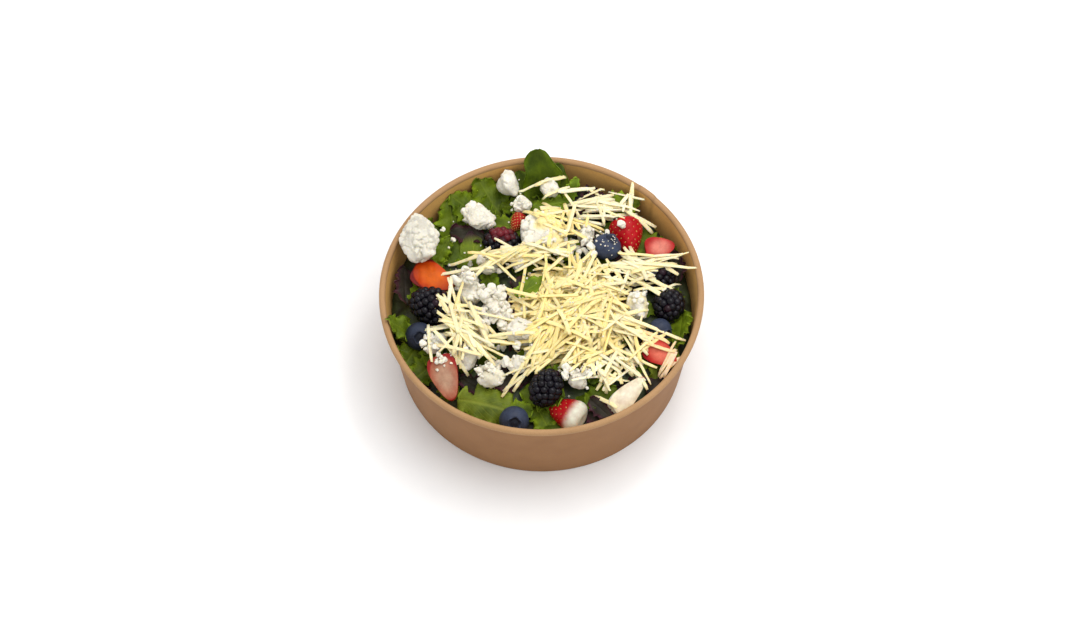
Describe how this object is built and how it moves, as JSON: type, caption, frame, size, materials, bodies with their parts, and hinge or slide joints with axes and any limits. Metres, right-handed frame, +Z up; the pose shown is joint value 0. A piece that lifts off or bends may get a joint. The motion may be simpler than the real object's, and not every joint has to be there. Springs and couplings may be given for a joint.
{
  "type": "bowl of berry salad with feta",
  "caption": "Round kraft paper bowl filled with leaf salad, topped with mixed berries, strawberry pieces, crumbled white cheese and a drift of shredded hard cheese.",
  "frame": {"origin": "centre of the foot ring of the bowl, on the table", "axes": "+Z up, +Y away from the viewer of the picture, +X to its right"},
  "size_m": [0.1498, 0.1498, 0.0603],
  "materials": {
    "kraft_board": "uncoated brown kraft paper board, matte, a light sheen inside",
    "leaf": "fresh green leaf, satin, veined",
    "shredded_cheese": "pale yellow shredded hard cheese, satin",
    "bramble_skin": "blue-black drupelets, glossy",
    "blueberry_skin": "dark blue skin with a pale bloom",
    "strawberry_flesh": "moist red skin with seeds, paler flesh on the cut faces",
    "feta": "white crumbly cheese, matte, moist"
  },
  "bodies": {
    "root": {"bowl": "kraft_board", "greens": "leaf", "cheese_shreds": "shredded_cheese", "bramble_left": "bramble_skin", "bramble_back": "bramble_skin", "bramble_right": "bramble_skin", "bramble_right_back": "bramble_skin", "bramble_front": "bramble_skin", "bramble_inner": "bramble_skin", "bramble_small": "bramble_skin", "blueberry_back": "blueberry_skin", "blueberry_left": "blueberry_skin", "blueberry_front": "blueberry_skin", "blueberry_right": "blueberry_skin", "blueberry_small": "blueberry_skin", "strawberry_back": "strawberry_flesh", "strawberry_right_back": "strawberry_flesh", "strawberry_front": "strawberry_flesh", "strawberry_left": "strawberry_flesh", "strawberry_slice": "strawberry_flesh", "strawberry_pale": "strawberry_flesh", "strawberry_wedge": "strawberry_flesh", "strawberry_right": "strawberry_flesh", "feta_rim": "feta", "feta_back_left": "feta", "feta_back": "feta", "feta_back_right": "feta", "feta_crown": "feta", "feta_right": "feta", "feta_middle": "feta", "feta_middle_front": "feta", "feta_left": "feta", "feta_front": "feta", "feta_front_middle": "feta", "feta_front_left": "feta", "feta_left_front": "feta", "feta_inner": "feta", "feta_inner_back": "feta", "feta_back_inner": "feta", "feta_low": "feta", "feta_back_middle": "feta"}
  },
  "joints": []
}
